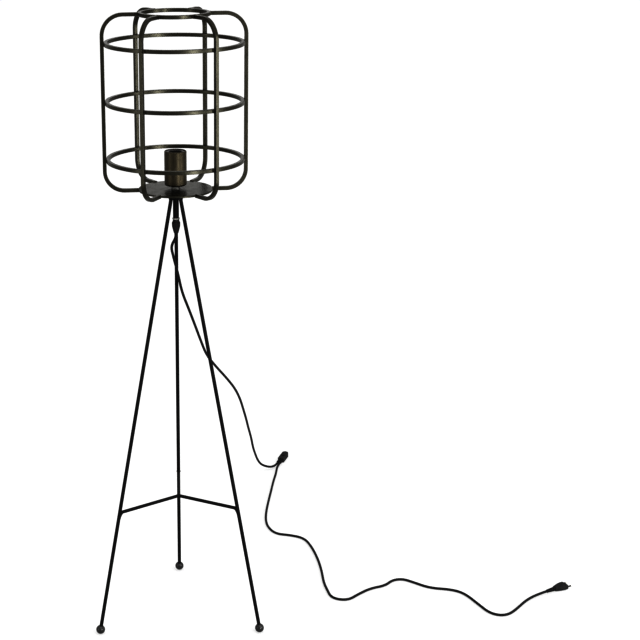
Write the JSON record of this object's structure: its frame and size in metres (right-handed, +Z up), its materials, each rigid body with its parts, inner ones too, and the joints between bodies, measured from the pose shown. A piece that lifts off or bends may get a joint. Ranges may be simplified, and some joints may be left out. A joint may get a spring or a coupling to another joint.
{
  "type": "wire cage floor lamp",
  "caption": "Floor lamp with a square-bar wire cage round a bare lamp holder, on a slim three-legged stand, with a cord, rocker switch and plug.",
  "frame": {"origin": "on the floor, under the vertical axis shared by the cage, lamp holder and stem", "axes": "+Z up; -Y to the front, between the two front legs; +X to the right as seen from the front"},
  "size_m": [1.1885, 1.1248, 1.445],
  "materials": {
    "cage_metal": "satin",
    "leg_metal": "satin",
    "cup_metal": "satin",
    "zinc": "satin",
    "steel": "satin",
    "brass": "satin",
    "nickel": "polished",
    "black_plastic": "matte",
    "insulator": "matte",
    "cord_sheath": "matte",
    "seal_rubber": "matte",
    "core_brown": "gloss",
    "core_blue": "gloss"
  },
  "bodies": {
    "lamp": {"cage_rib_1": "cage_metal", "cage_rib_2": "cage_metal", "cage_rib_3": "cage_metal", "cage_rib_4": "cage_metal", "cage_rib_5": "cage_metal", "cage_rib_6": "cage_metal", "hoop_lower": "cage_metal", "hoop_middle": "cage_metal", "hoop_upper": "cage_metal", "top_ring": "cage_metal", "base_plate": "cage_metal", "leg_hub": "leg_metal", "leg_left": "leg_metal", "leg_right": "leg_metal", "leg_rear": "leg_metal", "foot_ball_left": "leg_metal", "foot_ball_right": "leg_metal", "foot_ball_rear": "leg_metal", "spreader_spoke_left": "leg_metal", "spreader_spoke_right": "leg_metal", "spreader_spoke_rear": "leg_metal", "stem_tube": "leg_metal", "collar_nut": "zinc", "holder_washer": "zinc", "holder_nut": "zinc", "lock_nut": "zinc", "threaded_nipple": "zinc", "grip_body": "black_plastic", "grip_cap": "black_plastic", "switch_base": "black_plastic", "switch_cover": "black_plastic", "plug_body": "black_plastic", "plug_pin_sleeves": "black_plastic", "switch_relief": "cord_sheath", "plug_relief": "cord_sheath", "cord_in_stem": "cord_sheath", "cord_to_switch": "cord_sheath", "cord_to_plug": "cord_sheath", "grip_seal": "seal_rubber", "holder_cup": "cup_metal", "holder_insert": "insulator", "terminal_block": "insulator", "holder_bracket": "steel", "bracket_screws": "steel", "switch_screws": "steel", "screw_shell": "nickel", "plug_pins": "nickel", "centre_contact": "brass", "terminal_barrels": "brass", "terminal_screws": "brass", "switch_contacts": "brass", "core_live": "core_brown", "core_neutral": "core_blue"},
    "rocker": {"switch_rocker": "black_plastic", "switch_plunger": "steel", "switch_spring": "steel"},
    "contact_bridge": {"switch_bridge": "brass"}
  },
  "joints": [
    {"name": "rocker_tilt", "type": "hinge", "parent": "lamp", "child": "rocker", "pos_m": [0.32018, 0.94395, 0.0094], "axis": [-0.9391, 0.3437, 0], "range_deg": [-16, 0]},
    {"name": "bridge_tilt", "type": "hinge", "parent": "lamp", "child": "contact_bridge", "pos_m": [0.32018, 0.94395, 0.0037], "axis": [-0.9391, 0.3437, 0], "range_deg": [0, 8]}
  ],
  "couplings": [
    {"joint": "bridge_tilt", "follows": "rocker_tilt", "ratio": -0.5}
  ]
}
